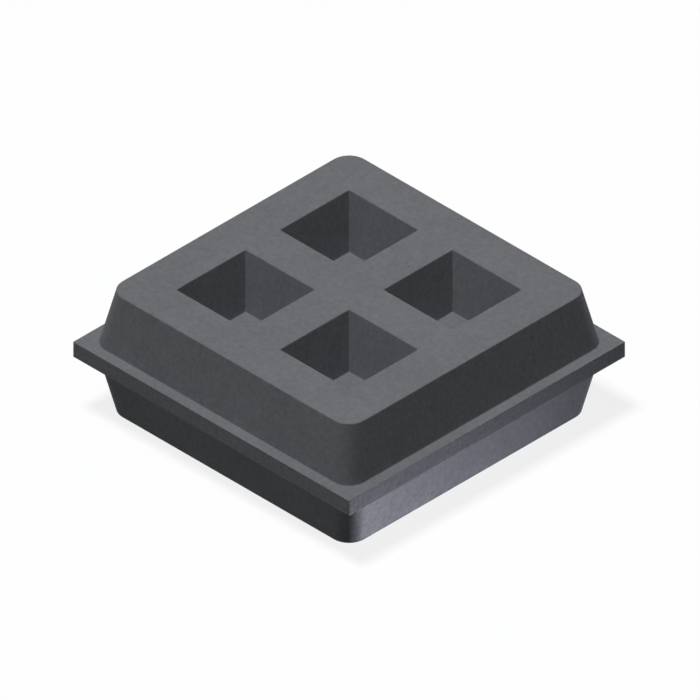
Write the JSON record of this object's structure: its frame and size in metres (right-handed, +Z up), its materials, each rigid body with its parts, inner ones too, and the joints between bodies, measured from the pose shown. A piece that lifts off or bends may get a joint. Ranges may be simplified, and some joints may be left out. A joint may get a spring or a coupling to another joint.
{
  "type": "anti-vibration machine pad",
  "caption": "Square moulded rubber waffle pad with tapered pockets in both faces and a thin lip round its middle; it goes under a machine foot to damp vibration.",
  "frame": {"origin": "centre of the underside, on the surface that the pad stands on", "axes": "+Z up through the thickness, +X and +Y square to the sides of the pad"},
  "size_m": [0.0508, 0.0508, 0.0191],
  "materials": {
    "rubber": "matte, as moulded, with a fine grain"
  },
  "bodies": {
    "root": {"pad": "rubber"}
  },
  "joints": []
}
